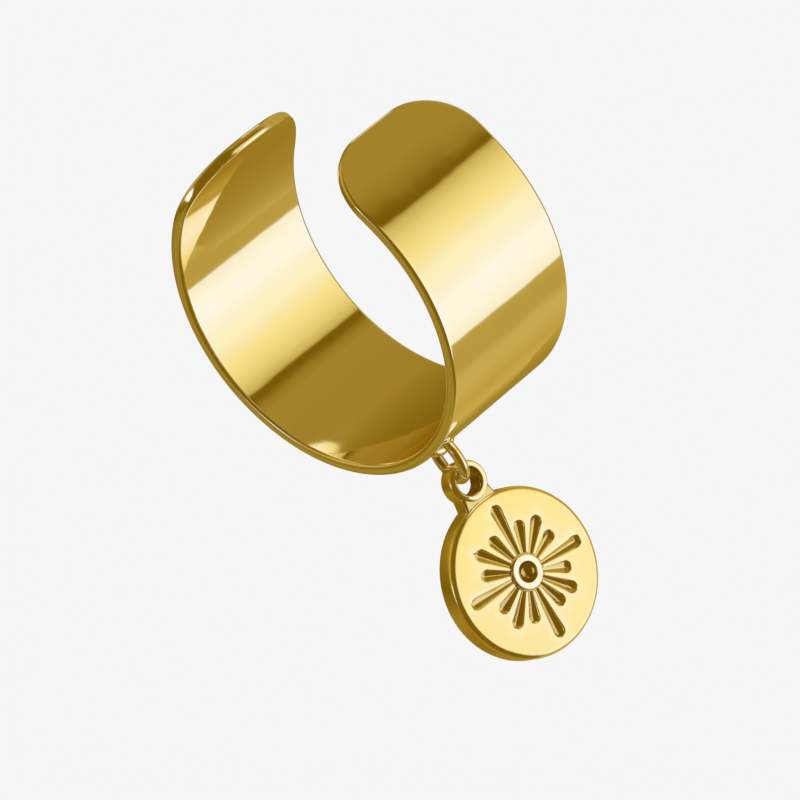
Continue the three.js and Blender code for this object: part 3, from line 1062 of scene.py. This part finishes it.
def floor_piece():
    """A level round floor, far wider than the view: circles about the vertical."""
    turn = np.linspace(0, 2 * math.pi, FLOOR_SIDES, endpoint=False)
    x, y = np.outer(FLOOR_RINGS, np.cos(turn)), np.outer(FLOOR_RINGS, np.sin(turn))
    points = np.stack([x, y, np.full(x.shape, FLOOR_Z)], axis=-1).reshape(-1, 3)
    faces = grid_faces(closed_round(np.arange(x.size).reshape(x.shape)))
    material, _ = plain_light("pale_floor", PALE_TONE)
    return mesh_piece("floor", material, points, faces, np.zeros(len(points)))


floor = floor_piece()
floor.visible_glossy = False
floor.visible_diffuse = False
floor.visible_shadow = False


def fading_card(name, corners, z, faces, fade):
    """A level card that only shines: its tone changes with x in steps of (millimetres, tone).
    Only the gold sees it."""
    light, colour = plain_light(name, PALE_TONE)
    tree = light.node_tree
    split = tree.nodes.new("ShaderNodeSeparateXYZ")
    tree.links.new(tree.nodes.new("ShaderNodeTexCoord").outputs["Object"], split.inputs[0])
    reach = tree.nodes.new("ShaderNodeMapRange")
    reach.inputs["From Min"].default_value = fade[0][0] * MM
    reach.inputs["From Max"].default_value = fade[-1][0] * MM
    tree.links.new(split.outputs["X"], reach.inputs["Value"])
    tree.links.new(tone_ramp(tree, reach.outputs["Result"], fade), colour)
    points = [(x, y, z) for x, y in corners]
    card = mesh_piece(name, light, points, np.array(faces), np.zeros(len(points)))
    card.visible_camera = False
    card.visible_diffuse = False
    card.visible_shadow = False


# An olive card lies behind and to the left, where only the inside of the ring looks at it.
fading_card(
    "olive_card",
    corners=((-150, 46), (-6, 17.5), (0, 19), (0, 200), (-60, 200), (-150, 200)),
    z=FLOOR_Z + 0.1,
    faces=((0, 1, 2, 3), (0, 3, 4, 5)),
    fade=((-24, CARD_OLIVE), (-12, CARD_LIT), (-5, CARD_BRONZE), (0, CARD_STRAW)),
)

# A small yellow card hangs above and behind, for the bottom of the ring's inside.
fading_card(
    "yellow_card",
    corners=((3, 22), (2.6, 29.3), (-4.4, 30.4), (-10, 31.1), (-18, 32.1), (-18, 22)),
    z=40.0,
    faces=((3, 2, 1, 0), (5, 4, 3, 0)),
    fade=((-18, STRAW), (-10, YELLOW), (-4, BUTTER), (3, YELLOW)),
)

# The camera stands in front and to the right, looks slightly down and is held askew.
CAMERA_AT = (215.404, -169.25, 44.836)
CAMERA_AZIMUTH = math.radians(-37.7345)
CAMERA_ELEVATION = math.radians(10.6158)
CAMERA_ROLL = math.radians(-31.7432)
RIGHT_ANGLE = math.radians(90)

camera_data = bpy.data.cameras.new("camera")
camera_data.lens = 241.5
camera_data.sensor_width = 36.0
camera_data.clip_start = 0.01
camera_data.clip_end = 20.0
camera = bpy.data.objects.new("camera", camera_data)
bpy.context.scene.collection.objects.link(camera)
stand = Matrix.Translation([MM * c for c in CAMERA_AT])
for angle, axis in (
    (CAMERA_AZIMUTH + RIGHT_ANGLE, "Z"),
    (RIGHT_ANGLE - CAMERA_ELEVATION, "X"),
    (CAMERA_ROLL, "Z"),
):
    stand = stand @ Matrix.Rotation(angle, 4, axis)
camera.matrix_world = stand
bpy.context.scene.camera = camera

bpy.context.scene.view_settings.view_transform = "Standard"
bpy.context.scene.view_settings.look = "None"
bpy.context.scene.cycles.glossy_bounces = 10  # the band's inside mirrors itself over and over
